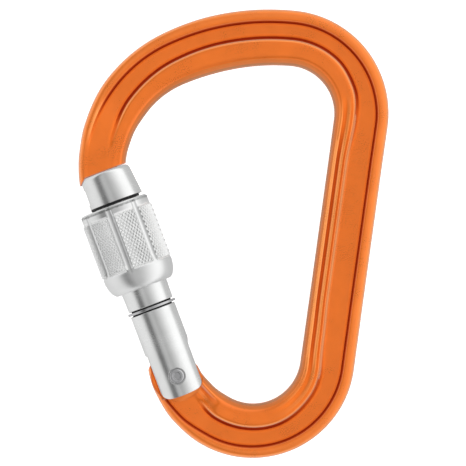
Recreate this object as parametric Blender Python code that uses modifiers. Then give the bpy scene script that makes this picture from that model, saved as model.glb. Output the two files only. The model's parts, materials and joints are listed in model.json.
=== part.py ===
"""Locking carabiner: a pear-shaped forged body, a keylock gate on a spring, and a screw sleeve.

The carabiner lies flat, with Z as its thickness. +Y runs along the spine towards the wide end and +X points
from the gate to the spine. The origin is the centre of its box. Sizes are in metres, and angles in radians.
The gate's own frame has its origin on the hinge axis, +Y along the gate and +X towards the spine.
"""

import math
from dataclasses import astuple, dataclass

import bmesh
import bpy
from mathutils import Matrix, Vector

MM = 0.001
NAME = "locking_carabiner"

# The bar's centreline: a straight spine, then bends of (radius, turn) to the nose and to the hinge.
SPINE_X = 28.1 * MM
SPINE_FOOT = -28.1 * MM
SPINE_LENGTH = 55.6 * MM
HEAD_BENDS = ((17.05 * MM, math.radians(92.7)), (53.7 * MM, math.radians(29.75)), (27.8 * MM, math.radians(78)))
FOOT_BENDS = ((17.0 * MM, math.radians(109.9)), (21.6 * MM, math.radians(50.5)))
STATION_STEP = 2.2 * MM

# The gate's frame, and the keylock nose that the gate's tip closes on.
HINGE = Vector((-5.3 * MM, -34.84 * MM, 0))
GATE_LEAN = math.radians(28.5)
GATE_OPENING = math.radians(48)
BAR_END = 49.4 * MM
NOSE_LEFT = -4.4 * MM
NOSE_RIGHT = 4.2 * MM
HEAD_LOW, HEAD_TOP = 43.6 * MM, 46.5 * MM
HEAD_HALF, NECK_HALF = 2.6 * MM, 1.5 * MM
NOSE_GAP = 0.25 * MM

# The tang, a plate between the gate's cheeks, with a spiral cam for the plunger.
TANG_HALF = 2.6 * MM
POCKET_HALF, POCKET_GAP = 2.65 * MM, 0.25 * MM
TANG_RADIUS = 4.3 * MM
CAM_RISE = 1.4 * MM  # a radian of opening
CAM_END = GATE_OPENING + math.radians(6)
PIN_HOLE = 1.32 * MM

# The gate: a tube with a fork at the hinge, a thread under the sleeve and a wider, offset tip.
TUBE_RADIUS = 5.3 * MM
THREAD_RADIUS = 5.6 * MM
THREAD_LOW, THREAD_TOP = 27.6 * MM, 37.8 * MM
GATE_FOOT = -4.3 * MM
CHEEK_HALF_WIDTH = 4.5 * MM
CHEEK_ROUND = 4.95 * MM
CHEEK_TOP = 5.2 * MM
FORK_HALF = 2.75 * MM
FORK_TOP = 6.4 * MM
BORE_RADIUS = 2.7 * MM
BORE_TOP = 27.0 * MM
TIP_LOW, TIP_TOP = 41.85 * MM, 49.05 * MM
TIP_OFFSET = 1.0 * MM
NECK_RADIUS = 4.2 * MM
TIP_RADIUS_LOW, TIP_RADIUS_TOP = 6.15 * MM, 5.5 * MM
TIP_CHAMFER = 0.8 * MM

# Rings and small pieces on the gate.
SEAL_Y, SEAL_WIDTH, SEAL_RADIUS, SEAL_OFFSET = 41.6 * MM, 0.46 * MM, 5.75 * MM, 0.6 * MM
STOP_Y, STOP_WIDTH, STOP_RADIUS = 16.45 * MM, 1.1 * MM, 5.75 * MM
GROOVE_RADIUS = 4.7 * MM
RING_INNER = 4.82 * MM
O_RING_Y, O_RING_WIDTH, O_RING_INNER, O_RING_OUTER = 22.2 * MM, 0.9 * MM, 5.4 * MM, 6.2 * MM
RIVET_RADIUS, RIVET_HEAD, RIVET_HEAD_LOW, RIVET_TOP = 1.2 * MM, 1.6 * MM, 4.5 * MM, 5.25 * MM
PLUNGER_RADIUS, PLUNGER_TIP, PLUNGER_TOP = 2.5 * MM, 4.8 * MM, 11.0 * MM
SPRING_RADIUS, SPRING_WIRE, SPRING_TURNS = 2.05 * MM, 0.3 * MM, 11
SPRING_LOW, SPRING_TOP = 11.6 * MM, 26.4 * MM

# The sleeve, as it stands part way up the gate.
SLEEVE_LOW, SLEEVE_TOP = 21.4 * MM, 41.2 * MM
SLEEVE_RADIUS = 8.3 * MM
SLEEVE_BORE = 5.8 * MM
SLEEVE_MOUTH, MOUTH_DEPTH = 7.3 * MM, 6.2 * MM
FLUTES, FLUTE_PHASE, FLUTE_RADIUS, FLUTE_DEPTH = 8, math.radians(-9.2), 1.3 * MM, 0.6 * MM

TURNED_STEPS = 64


@dataclass(frozen=True)
class Section:
    """Half of the bar's I-section: widths across the bar, heights from its middle plane."""

    width: float
    rim: float
    rim_height: float
    web_height: float
    bearing: float
    bearing_height: float

    def blend(self, other, share):
        """The section between this one and another."""
        pairs = zip(astuple(self), astuple(other))
        return Section(*(a + (b - a) * share for a, b in pairs))

    def upper_half(self):
        """(distance in from the outer edge, height) from the outer edge to the inner edge."""
        w, step, edge = self.width, 0.35 * MM, 1.1 * MM
        rim_edge, web_edge = min(edge, 0.7 * self.rim), w - self.bearing
        return [
            (0, 0.35 * self.rim_height),
            (0.3 * rim_edge, 0.8 * self.rim_height),
            (rim_edge, self.rim_height),
            (self.rim, self.rim_height),
            (self.rim + step, self.web_height),
            (web_edge - step, self.web_height),
            (web_edge, self.web_height + 0.85 * (self.bearing_height - self.web_height)),
            (web_edge + 0.18 * self.bearing, self.bearing_height),
            (web_edge + 0.5 * self.bearing, self.bearing_height),
            (web_edge + 0.8 * self.bearing, 0.8 * self.bearing_height),
            (web_edge + 0.95 * self.bearing, 0.5 * self.bearing_height),
            (w, 0.17 * self.bearing_height),
        ]


# Sections at distances along the bar from the foot of the spine; those towards the hinge are negative.
SECTIONS = [
    (distance * MM, Section(*(size * MM for size in sizes)))
    for distance, sizes in (
        (-52, (9.9, 1.2, 3.5, 2.5, 3.4, 2.5)),
        (-46, (10.9, 1.2, 3.9, 2.5, 4.0, 2.5)),
        (-41, (11.9, 1.9, 4.2, 2.6, 5.0, 2.9)),
        (-32, (12.4, 2.6, 4.4, 2.7, 5.9, 5.2)),
        (-20, (12.3, 2.7, 4.5, 2.7, 5.9, 5.3)),
        (0, (12.25, 2.6, 4.4, 2.7, 4.6, 4.4)),
        (12, (12.2, 2.6, 4.3, 2.7, 4.1, 4.2)),
        (44, (12.2, 2.6, 4.3, 2.7, 4.1, 4.2)),
        (58, (12.3, 2.6, 4.4, 2.7, 4.6, 4.4)),
        (72, (12.4, 2.8, 4.5, 2.7, 6.0, 5.2)),
        (100, (12.8, 2.9, 4.5, 2.7, 6.2, 5.2)),
        (125, (11.8, 2.6, 4.4, 2.9, 5.0, 4.8)),
        (134, (11.1, 2.2, 4.3, 3.8, 4.0, 4.4)),
        (139, (10.7, 2.0, 4.25, 4.2, 3.6, 4.25)),
        (152, (10.0, 2.0, 4.25, 4.2, 3.6, 4.25)),
    )
]


def clear_scene():
    """Remove every object."""
    for thing in list(bpy.data.objects):
        bpy.data.objects.remove(thing, do_unlink=True)


def new_collection(name):
    """A collection in the scene."""
    made = bpy.data.collections.new(name)
    bpy.context.scene.collection.children.link(made)
    return made


def paint(thing, color, roughness, metallic):
    """Give an object its own Principled material."""
    material = bpy.data.materials.new(thing.name)
    material.use_nodes = True
    shader = material.node_tree.nodes["Principled BSDF"]
    shader.inputs["Base Color"].default_value = (*color, 1)
    shader.inputs["Roughness"].default_value = roughness
    shader.inputs["Metallic"].default_value = metallic
    thing.data.materials.clear()
    thing.data.materials.append(material)


def add_object(name, mesh, collection, parent):
    """An object in a collection, in its parent's frame."""
    thing = bpy.data.objects.new(name, mesh)
    collection.objects.link(thing)
    thing.parent = parent
    return thing


def add_cutter(name, mesh, parent):
    """An object that only cuts or joins others."""
    thing = add_object(name, mesh, CUTTERS, parent)
    thing.hide_render = True
    thing.display_type = "WIRE"
    return thing


def mesh_of(name, build):
    """A mesh that a function fills through bmesh, with its faces pointing out."""
    mesh, work = bpy.data.meshes.new(name), bmesh.new()
    build(work)
    bmesh.ops.recalc_face_normals(work, faces=work.faces)
    work.to_mesh(mesh)
    work.free()
    mesh.shade_smooth()
    mesh.set_sharp_from_angle(angle=math.radians(35))
    return mesh


def block(name, low, high, parent):
    """A box cutter between two corners."""
    low, high = Vector(low), Vector(high)
    place = Matrix.Translation((low + high) / 2) @ Matrix.Diagonal((*(high - low), 1))
    return add_cutter(name, mesh_of(name, lambda work: bmesh.ops.create_cube(work, size=1, matrix=place)), parent)


def rod(name, radius, start, end, parent, steps=32, top_radius=None):
    """A cylinder or cone cutter between two points."""
    start, end = Vector(start), Vector(end)
    turn = (end - start).to_track_quat("Z", "Y").to_matrix().to_4x4()
    place = Matrix.Translation((start + end) / 2) @ turn

    def build(work):
        bmesh.ops.create_cone(
            work, cap_ends=True, segments=steps, radius1=radius, matrix=place,
            radius2=radius if top_radius is None else top_radius, depth=(end - start).length,
        )

    return add_cutter(name, mesh_of(name, build), parent)


def plate(name, outline, low, high, parent):
    """A flat outline extruded from one height to another."""

    def build(work):
        face = work.faces.new([work.verts.new((x, y, low)) for x, y in outline])
        grown = bmesh.ops.extrude_face_region(work, geom=[face])["geom"]
        tops = [part for part in grown if isinstance(part, bmesh.types.BMVert)]
        bmesh.ops.translate(work, verts=tops, vec=(0, 0, high - low))

    return add_cutter(name, mesh_of(name, build), parent)


def turned(name, profile, parent, collection=None, closed=False):
    """A profile of (radius, distance along the gate), turned about the gate's axis."""
    mesh = bpy.data.meshes.new(name)
    points = [(radius, 0, height) for radius, height in profile]
    edges = [(n, n + 1) for n in range(len(points) - 1)] + ([(len(points) - 1, 0)] if closed else [])
    mesh.from_pydata(points, edges, [])
    thing = add_object(name, mesh, collection or CUTTERS, parent)
    thing.rotation_euler = (math.radians(-90), 0, 0)
    screw = thing.modifiers.new("turn", "SCREW")
    screw.steps = screw.render_steps = TURNED_STEPS
    screw.use_merge_vertices = True
    screw.merge_threshold = 0.00001
    screw.use_normal_calculate = True
    return thing


def combine(thing, operation, other):
    """Cut, join or intersect an object with another."""
    step = thing.modifiers.new(other.name, "BOOLEAN")
    step.operation = operation
    step.object = other
    step.solver = "EXACT"


def walk(point, heading, bends, turn):
    """(point, heading, distance) along tangent bends from a point, turning left (1) or right (-1)."""
    travelled, stops = 0.0, []
    for radius, angle in bends:
        count = max(2, round(radius * angle / STATION_STEP))
        centre = point + radius * turn * Vector((-math.sin(heading), math.cos(heading)))
        for n in range(1, count + 1):
            now = heading + turn * angle * n / count
            spot = centre - radius * turn * Vector((-math.sin(now), math.cos(now)))
            stops.append((spot, now, travelled + radius * angle * n / count))
        point, heading, travelled = spot, now, travelled + radius * angle
    return stops


def bar_stations():
    """(centre, outward direction, distance) for each station, from the hinge to the nose."""
    up, down = math.radians(90), math.radians(-90)
    foot, top = Vector((SPINE_X, SPINE_FOOT)), Vector((SPINE_X, SPINE_FOOT + SPINE_LENGTH))
    to_hinge = [
        (spot, Vector((-math.sin(way), math.cos(way))), -far)
        for spot, way, far in reversed(walk(foot, down, FOOT_BENDS, -1))
    ]
    spine_count = round(SPINE_LENGTH / (4 * MM))
    spine = [
        (foot.lerp(top, n / spine_count), Vector((1, 0)), SPINE_LENGTH * n / spine_count)
        for n in range(spine_count + 1)
    ]
    to_nose = [
        (spot, Vector((math.sin(way), -math.cos(way))), SPINE_LENGTH + far)
        for spot, way, far in walk(top, up, HEAD_BENDS, 1)
    ]
    return to_hinge + spine + to_nose


def section_at(distance):
    """The bar's section at a distance along it, easing from one named section to the next."""
    for (low, before), (high, after) in zip(SECTIONS, SECTIONS[1:]):
        if distance <= high:
            share = (distance - low) / (high - low)
            return before.blend(after, share * share * (3 - 2 * share))
    return SECTIONS[-1][1]


def box_centre(stations):
    """The centre of the bar's outline, which is the origin of the part."""
    edges = [
        centre + side * outward * section_at(distance).width / 2
        for centre, outward, distance in stations
        for side in (1, -1)
    ]
    xs, ys = zip(*edges)
    return Vector(((min(xs) + max(xs)) / 2, (min(ys) + max(ys)) / 2, 0))


def loft_bar(work, stations):
    """Skin the I-section along the centreline, with a flat cap at each end."""
    rings = []
    for centre, outward, distance in stations:
        section = section_at(distance)
        upper = section.upper_half()
        outline = upper + [(across, -height) for across, height in reversed(upper)]
        edge = centre + outward * section.width / 2
        rings.append([work.verts.new((*(edge - outward * across), height)) for across, height in outline])
    for ring, following in zip(rings, rings[1:]):
        for n in range(len(ring)):
            m = (n + 1) % len(ring)
            work.faces.new((ring[n], ring[m], following[m], following[n]))
    work.faces.new(rings[0])
    work.faces.new(rings[-1])


def arc(radius, start, end, steps):
    """Points on an arc about the hinge, from one angle off the gate's axis to another."""
    turns = [start + (end - start) * n / steps for n in range(steps + 1)]
    return [(radius * math.sin(turn), radius * math.cos(turn)) for turn in turns]


def ring_sector(low, high, left, right):
    """The outline between two arcs about the hinge and two lines beside the gate's axis."""
    steps = 12
    lower = arc(low, math.asin(left / low), math.asin(right / low), steps)
    upper = arc(high, math.asin(left / high), math.asin(right / high), steps)
    return lower + upper[::-1]


def tang_outline():
    """A round boss about the hinge, with the spiral that lifts the plunger as the gate opens."""
    fade = math.radians(25)
    outline = []
    for degrees in range(0, 360, 6):
        turn = math.radians(degrees)
        rise = CAM_RISE * min(turn, CAM_END)
        if turn > CAM_END:
            rise *= max(0.0, 1 - (turn - CAM_END) / fade)
        outline.append(((TANG_RADIUS + rise) * math.sin(turn), (TANG_RADIUS + rise) * math.cos(turn)))
    return outline


def pocket_outline():
    """The room that the gate's cheeks sweep beside the tang, from closed to open."""
    reach = CHEEK_HALF_WIDTH + POCKET_GAP
    across, along = math.cos(GATE_OPENING), math.sin(GATE_OPENING)
    far = 14 * MM
    open_foot = Vector((reach * across, -reach * along))
    open_far = open_foot + far * Vector((along, across))
    return [(-reach, 0), (-reach, far), (open_far.x, far), tuple(open_far), tuple(open_foot), (0, -0.5 * reach)]


def make_body(frame, gate_frame):
    """The forged bar, with its tang and keylock nose."""
    body = add_object("body", mesh_of("body", lambda work: loft_bar(work, bar_stations())), PARTS, frame)
    inset = 0.3 * MM
    neck_outline = ring_sector(HEAD_TOP - inset, BAR_END + 2 * inset, NOSE_LEFT + inset, NOSE_RIGHT - inset)
    head_outline = ring_sector(HEAD_LOW, HEAD_TOP, NOSE_LEFT, NOSE_RIGHT)
    for name, low, high in (("front_pocket", POCKET_HALF, 9 * MM), ("back_pocket", -9 * MM, -POCKET_HALF)):
        sweep = plate(name, pocket_outline(), low, high, gate_frame)
        combine(sweep, "UNION", rod(name + "_foot", CHEEK_ROUND + POCKET_GAP, (0, 0, low), (0, 0, high), gate_frame))
        combine(body, "DIFFERENCE", sweep)
    tip_room = block("tip_room", (-15 * MM, 30 * MM, -9 * MM), (15 * MM, BAR_END, 9 * MM), gate_frame)
    combine(body, "DIFFERENCE", tip_room)
    combine(body, "UNION", plate("tang", tang_outline(), -TANG_HALF, TANG_HALF, gate_frame))
    combine(body, "UNION", plate("nose_neck", neck_outline, -NECK_HALF, NECK_HALF, gate_frame))
    combine(body, "UNION", plate("nose_head", head_outline, -HEAD_HALF, HEAD_HALF, gate_frame))
    combine(body, "DIFFERENCE", rod("pin_hole", PIN_HOLE, (0, 0, -9 * MM), (0, 0, 9 * MM), gate_frame))
    paint(body, (0.86, 0.19, 0.014), 0.34, 0.85)


def make_gate(gate_frame):
    """The gate: tube, thread land, grooves, fork, spring bore and the slotted tip."""
    groove, half = GROOVE_RADIUS, STOP_WIDTH / 2
    profile = [
        (0, TIP_LOW + 0.5 * MM), (NECK_RADIUS, TIP_LOW + 0.5 * MM),
        (NECK_RADIUS, TIP_LOW - 0.6 * MM), (TUBE_RADIUS, TIP_LOW - 0.6 * MM),
        (TUBE_RADIUS, THREAD_TOP), (THREAD_RADIUS, THREAD_TOP - 0.3 * MM),
        (THREAD_RADIUS, THREAD_LOW + 0.3 * MM), (TUBE_RADIUS, THREAD_LOW),
        (TUBE_RADIUS, STOP_Y + half), (groove, STOP_Y + half),
        (groove, STOP_Y - half), (TUBE_RADIUS, STOP_Y - half),
        (TUBE_RADIUS, GATE_FOOT), (0, GATE_FOOT),
    ]
    gate = turned("gate", profile, gate_frame, PARTS)
    tip_base, tip_top = (TIP_OFFSET, TIP_LOW, 0), (TIP_OFFSET, TIP_TOP - TIP_CHAMFER, 0)
    crown_radius = TIP_RADIUS_TOP - TIP_CHAMFER
    combine(gate, "UNION", rod("tip", TIP_RADIUS_LOW, tip_base, tip_top, gate_frame, 64, TIP_RADIUS_TOP))
    crown_low = (TIP_OFFSET, TIP_TOP - TIP_CHAMFER - 0.01 * MM, 0)
    crown_top = (TIP_OFFSET, TIP_TOP, 0)
    combine(gate, "UNION", rod("tip_crown", TIP_RADIUS_TOP, crown_low, crown_top, gate_frame, 64, crown_radius))
    for name, side in (("left_flat", -1), ("right_flat", 1)):
        near, far = side * CHEEK_HALF_WIDTH, side * 8 * MM
        low, high = (min(near, far), -8 * MM, -8 * MM), (max(near, far), CHEEK_TOP, 8 * MM)
        combine(gate, "DIFFERENCE", block(name, low, high, gate_frame))
    round_end = rod("cheek_round", CHEEK_ROUND, (0, 0, -8 * MM), (0, 0, 8 * MM), gate_frame, 48)
    shank = block("shank", (-9 * MM, 0, -9 * MM), (9 * MM, 60 * MM, 9 * MM), gate_frame)
    combine(round_end, "UNION", shank)
    combine(gate, "INTERSECT", round_end)
    fork_low, fork_high = (-9 * MM, -9 * MM, -FORK_HALF), (9 * MM, FORK_TOP, FORK_HALF)
    combine(gate, "DIFFERENCE", block("fork", fork_low, fork_high, gate_frame))
    combine(gate, "DIFFERENCE", rod("bore", BORE_RADIUS, (0, 0, 0), (0, BORE_TOP, 0), gate_frame, 48))
    gap = NOSE_GAP
    head_slot = ring_sector(HEAD_LOW - gap, HEAD_TOP + gap, -9 * MM, NOSE_RIGHT + gap)
    neck_slot = ring_sector(HEAD_TOP, TIP_TOP + 3 * MM, -9 * MM, NOSE_RIGHT + gap)
    combine(gate, "DIFFERENCE", plate("head_slot", head_slot, -(HEAD_HALF + gap), HEAD_HALF + gap, gate_frame))
    combine(gate, "DIFFERENCE", plate("neck_slot", neck_slot, -(NECK_HALF + gap), NECK_HALF + gap, gate_frame))
    combine(gate, "DIFFERENCE", rod("rivet_hole", PIN_HOLE, (0, 0, -9 * MM), (0, 0, 9 * MM), gate_frame))
    for name, side in (("front_sink", 1), ("back_sink", -1)):
        deep, mouth = (0, 0, side * (RIVET_HEAD_LOW - 0.1 * MM)), (0, 0, side * 6 * MM)
        combine(gate, "DIFFERENCE", rod(name, RIVET_HEAD + 0.12 * MM, deep, mouth, gate_frame))
    paint(gate, (0.78, 0.79, 0.8), 0.22, 1)


def make_sleeve(gate_frame):
    """The screw sleeve, fluted for grip, with a wide mouth that closes over the gate's tip."""
    low, top, radius, bore = SLEEVE_LOW, SLEEVE_TOP, SLEEVE_RADIUS, SLEEVE_BORE
    groove_half = O_RING_WIDTH / 2 + 0.15 * MM
    profile = [
        (SLEEVE_MOUTH, top), (radius - 0.6 * MM, top), (radius, top - 0.8 * MM), (radius, low + 4.9 * MM),
        (radius - 0.2 * MM, low + 3.5 * MM), (radius - 0.6 * MM, low + 1.9 * MM),
        (radius - 1.1 * MM, low + 0.7 * MM), (radius - 1.7 * MM, low), (bore, low),
        (bore, O_RING_Y - groove_half), (O_RING_OUTER + 0.15 * MM, O_RING_Y - groove_half),
        (O_RING_OUTER + 0.15 * MM, O_RING_Y + groove_half), (bore, O_RING_Y + groove_half),
        (bore, top - MOUTH_DEPTH - 1.2 * MM), (SLEEVE_MOUTH, top - MOUTH_DEPTH),
    ]
    sleeve = turned("locking_sleeve", profile, gate_frame, PARTS, closed=True)
    reach = radius + FLUTE_RADIUS - FLUTE_DEPTH
    for n in range(FLUTES):
        turn = FLUTE_PHASE + 2 * math.pi * n / FLUTES
        across, out = reach * math.sin(turn), reach * math.cos(turn)
        foot, head = (across * 1.07, low + 1.2 * MM, out * 1.07), (across, low + 4.5 * MM, out)
        above = (across, top + 2 * MM, out)
        flute = rod(f"flute_{n}", FLUTE_RADIUS, head, above, gate_frame, 16)
        combine(flute, "UNION", rod(f"flute_foot_{n}", FLUTE_RADIUS, foot, head, gate_frame, 16))
        combine(sleeve, "DIFFERENCE", flute)
    paint(sleeve, (0.72, 0.72, 0.72), 0.35, 1)


def make_rings(gate_frame):
    """The seal ring under the tip, the sleeve's stop ring and the sleeve's friction ring."""
    for name, middle, width, inner, outer, across, color in (
        ("tip_seal_ring", SEAL_Y, SEAL_WIDTH, 4.95 * MM, SEAL_RADIUS, SEAL_OFFSET, (0.01, 0.01, 0.01)),
        ("sleeve_stop_ring", STOP_Y, STOP_WIDTH - 0.2 * MM, RING_INNER, STOP_RADIUS, 0, (0.3, 0.3, 0.3)),
        ("sleeve_friction_ring", O_RING_Y, O_RING_WIDTH, O_RING_INNER, O_RING_OUTER, 0, (0.02, 0.02, 0.02)),
    ):
        half, chamfer = width / 2, 0.12 * MM
        profile = [
            (outer - chamfer, middle + half), (outer, middle + half - chamfer), (outer, middle - half + chamfer),
            (outer - chamfer, middle - half), (inner, middle - half), (inner, middle + half),
        ]
        ring = turned(name, profile, gate_frame, PARTS, closed=True)
        ring.location.x = across
        paint(ring, color, 0.5, 0)


def make_rivet(gate_frame):
    """The hinge rivet, headed over into both cheeks."""
    shaft, head, low, top = RIVET_RADIUS, RIVET_HEAD, RIVET_HEAD_LOW, RIVET_TOP
    upper = [(0, top), (head - 0.3 * MM, top), (head, top - 0.25 * MM), (head, low + 0.1 * MM), (shaft, low)]
    profile = upper + [(radius, -height) for radius, height in reversed(upper)]
    rivet = turned("hinge_rivet", profile, gate_frame, PARTS)
    rivet.rotation_euler = (0, 0, 0)
    paint(rivet, (0.6, 0.6, 0.62), 0.3, 1)


def make_plunger(gate_frame):
    """The plunger that rides on the tang's cam, with a domed tip."""
    dome = [
        (PLUNGER_RADIUS * math.sin(turn), PLUNGER_TIP + 1.2 * MM * (1 - math.cos(turn)))
        for turn in (math.radians(90 - 15 * n) for n in range(7))
    ]
    dome[-1] = (0, PLUNGER_TIP)
    edge = PLUNGER_RADIUS - 0.3 * MM
    profile = [(0, PLUNGER_TOP), (edge, PLUNGER_TOP), (PLUNGER_RADIUS, PLUNGER_TOP - 0.3 * MM)] + dome
    plunger = turned("spring_plunger", profile, gate_frame, PARTS)
    paint(plunger, (0.55, 0.55, 0.57), 0.35, 1)


def make_spring(gate_frame):
    """The compression spring between the plunger and the end of the gate's bore."""
    curve = bpy.data.curves.new("gate_spring", "CURVE")
    curve.dimensions = "3D"
    curve.bevel_depth = SPRING_WIRE
    curve.bevel_resolution = 2
    curve.use_fill_caps = True
    spline = curve.splines.new("POLY")
    count = SPRING_TURNS * 10
    spline.points.add(count)
    for n, point in enumerate(spline.points):
        turn = 2 * math.pi * SPRING_TURNS * n / count
        height = SPRING_LOW + (SPRING_TOP - SPRING_LOW) * n / count
        point.co = (SPRING_RADIUS * math.cos(turn), height, SPRING_RADIUS * math.sin(turn), 1)
    spring = add_object("gate_spring", curve, PARTS, gate_frame)
    paint(spring, (0.5, 0.5, 0.52), 0.3, 1)


clear_scene()
PARTS = new_collection(NAME)
CUTTERS = new_collection("cutters")

whole = add_object("carabiner_frame", None, PARTS, None)
whole.location = -box_centre(bar_stations())
gate_axis = add_object("gate_axis", None, PARTS, whole)
gate_axis.location = HINGE
gate_axis.rotation_euler = (0, 0, GATE_LEAN)

make_body(whole, gate_axis)
make_gate(gate_axis)
make_sleeve(gate_axis)
make_rings(gate_axis)
make_rivet(gate_axis)
make_plunger(gate_axis)
make_spring(gate_axis)
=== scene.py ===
"""Looks of a locking carabiner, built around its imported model.

In the row frame, +Y runs along the spine towards the wide end, +X from the gate to the spine, and Z is the
thickness. Sizes are in metres and angles in radians. The gate's own frame has its origin on the hinge axis,
+Y along the gate and +X towards the spine: pieces on the gate are modelled in it and then placed.
"""

import json
import logging
import math
from collections.abc import Callable, Sequence
from dataclasses import astuple, dataclass
from enum import Enum

import bmesh
import bpy
from mathutils import Matrix, Vector, noise


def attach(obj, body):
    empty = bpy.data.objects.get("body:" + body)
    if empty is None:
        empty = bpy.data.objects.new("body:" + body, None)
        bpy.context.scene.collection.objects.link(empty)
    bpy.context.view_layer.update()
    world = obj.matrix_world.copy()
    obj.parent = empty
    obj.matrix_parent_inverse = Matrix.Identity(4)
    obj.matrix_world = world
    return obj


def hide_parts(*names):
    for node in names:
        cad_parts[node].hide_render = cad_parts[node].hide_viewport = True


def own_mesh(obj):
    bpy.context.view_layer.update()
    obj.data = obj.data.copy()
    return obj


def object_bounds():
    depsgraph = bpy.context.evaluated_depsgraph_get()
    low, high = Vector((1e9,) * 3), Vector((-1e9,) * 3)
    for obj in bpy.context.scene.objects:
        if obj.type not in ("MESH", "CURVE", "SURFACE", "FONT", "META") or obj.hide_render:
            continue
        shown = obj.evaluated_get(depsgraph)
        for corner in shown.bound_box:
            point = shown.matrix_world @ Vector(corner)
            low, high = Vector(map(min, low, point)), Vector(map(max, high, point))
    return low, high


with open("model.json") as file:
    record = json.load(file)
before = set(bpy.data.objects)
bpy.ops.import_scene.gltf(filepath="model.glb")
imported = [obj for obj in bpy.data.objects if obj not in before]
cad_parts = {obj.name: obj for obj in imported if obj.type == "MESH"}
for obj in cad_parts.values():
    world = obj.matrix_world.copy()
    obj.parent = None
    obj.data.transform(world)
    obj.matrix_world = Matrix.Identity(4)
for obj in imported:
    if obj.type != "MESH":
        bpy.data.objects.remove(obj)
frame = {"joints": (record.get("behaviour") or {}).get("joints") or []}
CAD_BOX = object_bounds()

MM = 0.001
# the colour attribute that holds painted shade and highlights on each piece's vertices
TINT = "tint"
WELD = 0.0005 * MM
LOG = logging.getLogger("carabiner")

Color = tuple[float, float, float]
Point = tuple[float, float]
Outline = list[Point]


class Slot(Enum):
    """The record's material slots."""

    ORANGE = "orange_anodised"
    BRIGHT = "bright_aluminium"
    KNURLED = "knurled_aluminium"
    STAINLESS = "stainless_steel"
    SPRING = "spring_steel"
    RUBBER = "black_rubber"


class Body(Enum):
    """The bodies that pieces ride on."""

    BAR = "body"
    GATE = "gate"
    PLUNGER = "plunger"
    CARRIER = "sleeve_carrier"
    SLEEVE = "sleeve"


class Tone(Enum):
    """How a surface's colour is multiplied to paint light and shade into it: painted shade in grooves,
    hollows and at edges, and painted highlights on crests.
    """

    PLAIN = (1.0, 1.0, 1.0)
    # painted shade in the bar's grooves
    GROOVE = (0.34, 0.1, 0.2)
    # painted highlight on the bar's rims, ridges and groove ends
    CREST = (1.3, 2.2, 6.0)
    # painted shade, a little cool, over the bar's rounded edges
    EDGE = (0.55, 0.86, 1.6)
    # painted shade in the knurl's valleys
    VALLEY_SHADE = (0.7, 0.7, 0.7)
    # painted shade, near black, in the gate's ring groove and on the rivet
    DEEP_SHADE = (0.03, 0.03, 0.03)

    def at(self, weight: float) -> Color:
        """The factors at a weight from 0 to 1."""
        return tuple(1 + (part - 1) * weight for part in self.value)


class Grain(Enum):
    """The fine relief that a surface is left with."""

    BLASTED = "blasted"
    TURNED = "turned"
    MOULDED = "moulded"


def smooth(share: float) -> float:
    """Ease a share between 0 and 1, holding it outside them."""
    share = min(1.0, max(0.0, share))
    return share * share * (3 - 2 * share)


def wave(turns: float) -> float:
    """A triangle wave of one period a turn, 0 at whole turns and 1 halfway."""
    return 1 - abs(2 * (turns % 1.0) - 1)


def gate_frame() -> Matrix:
    """The gate's frame at rest, from the hinge and slide joints.

    Returns:
        The matrix from the gate's frame to the row frame.
    """
    joints = {joint["name"]: joint for joint in frame["joints"]}
    along = Vector(joints["sleeve_slide"]["axis"]).normalized()
    across = along.cross(Vector((0, 0, 1)))
    turn = Matrix((across, along, (0, 0, 1))).transposed().to_4x4()
    return Matrix.Translation(Vector(joints["gate_hinge"]["pos_m"])) @ turn


GATE = gate_frame()


# ---------------------------------------------------------------- shading


class Graph:
    """A node tree with one short call to add a node and feed it."""

    def __init__(self, tree: bpy.types.NodeTree) -> None:
        """Start on an empty tree."""
        self.tree = tree
        tree.nodes.clear()

    def node(self, kind: str, feeds: dict | None = None, **settings: object) -> bpy.types.Node:
        """Add a node.

        Args:
            kind: the node's type, without its ShaderNode prefix.
            feeds: by input name or number, a socket to link or a value to set.
            settings: properties of the node.

        Returns:
            The node.
        """
        made = self.tree.nodes.new("ShaderNode" + kind)
        for name, value in settings.items():
            setattr(made, name, value)
        for name, value in (feeds or {}).items():
            if isinstance(value, bpy.types.NodeSocket):
                self.tree.links.new(value, made.inputs[name])
            else:
                made.inputs[name].default_value = value
        return made

    def math(self, operation: str, first: object, second: object = 0.0) -> bpy.types.NodeSocket:
        """Add a Math node and return its result."""
        return self.node("Math", {0: first, 1: second}, operation=operation).outputs[0]

    def ramp(self, share: bpy.types.NodeSocket, stops: Sequence[tuple[float, Color]]) -> bpy.types.NodeSocket:
        """Add a colour ramp.

        Args:
            share: what the ramp reads.
            stops: (place, colour) from low to high.

        Returns:
            The ramp's colour.
        """
        made = self.node("ValToRGB", {0: share})
        elements = made.color_ramp.elements
        while len(elements) < len(stops):
            elements.new(1.0)
        for element, (place, color) in zip(elements, stops):
            element.position = place
            element.color = (*color, 1)
        return made.outputs[0]


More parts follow.
